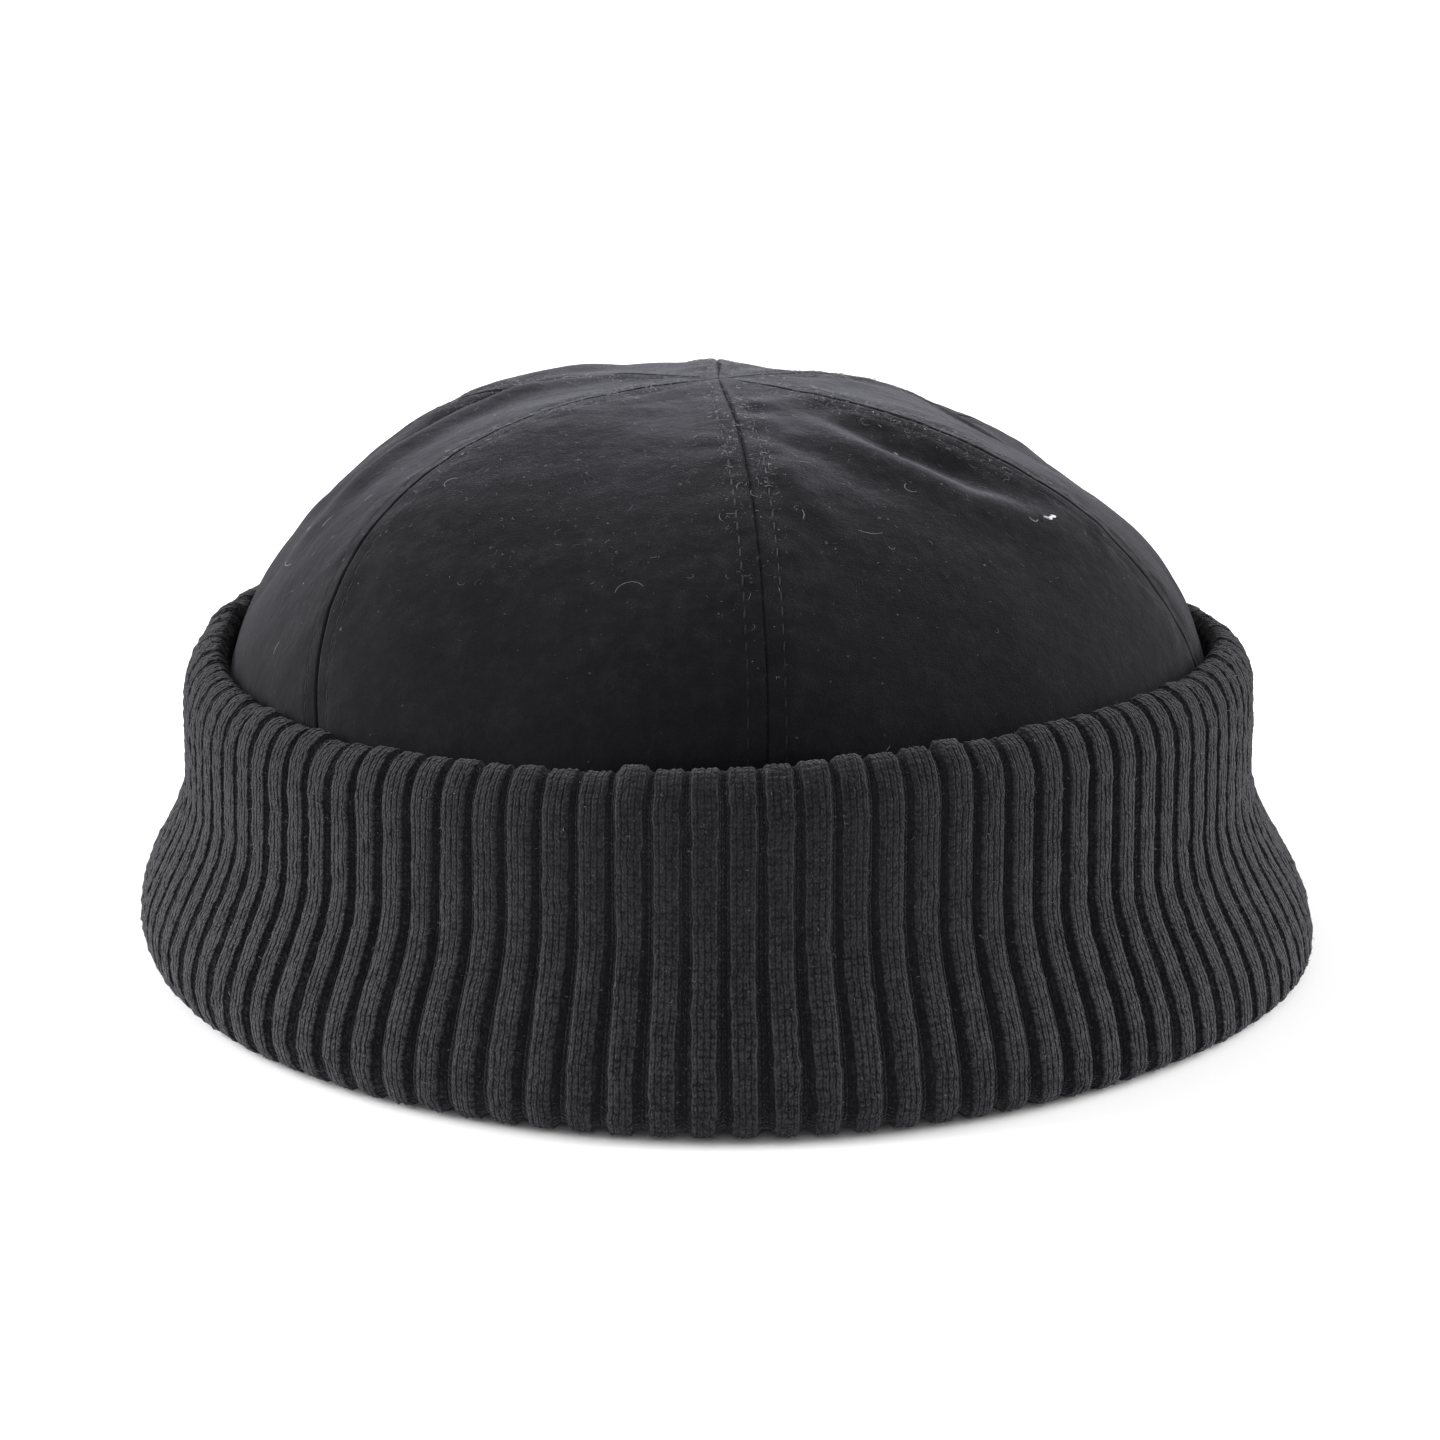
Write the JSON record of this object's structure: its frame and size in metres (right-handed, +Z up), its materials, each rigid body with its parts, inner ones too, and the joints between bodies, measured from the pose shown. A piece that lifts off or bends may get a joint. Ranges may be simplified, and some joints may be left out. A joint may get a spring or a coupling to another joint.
{
  "type": "fisherman beanie",
  "caption": "Brimless cap with a rounded panelled cloth crown sewn into a deep turned-up cuff of rib knit, open below for the head.",
  "frame": {"origin": "middle of the overall box in plan, on the plane that the cuff's foot rests on", "axes": "+Z up through the crown, -Y the front of the cap, +X to the right seen from the front"},
  "size_m": [0.1952, 0.2232, 0.0942],
  "materials": {
    "wool_cloth": "black fulled wool cloth with a short soft nap, panel seams pressed open and topstitched on both sides",
    "rib_knit": "black woollen rib knit, flat ribs of a few wales between narrow sunken gutters, folded double"
  },
  "bodies": {
    "root": {"crown_panel_front_left": "wool_cloth", "crown_panel_front_right": "wool_cloth", "crown_panel_right": "wool_cloth", "crown_panel_back_right": "wool_cloth", "crown_panel_back_left": "wool_cloth", "crown_panel_left": "wool_cloth", "rib_cuff": "rib_knit"}
  },
  "joints": []
}
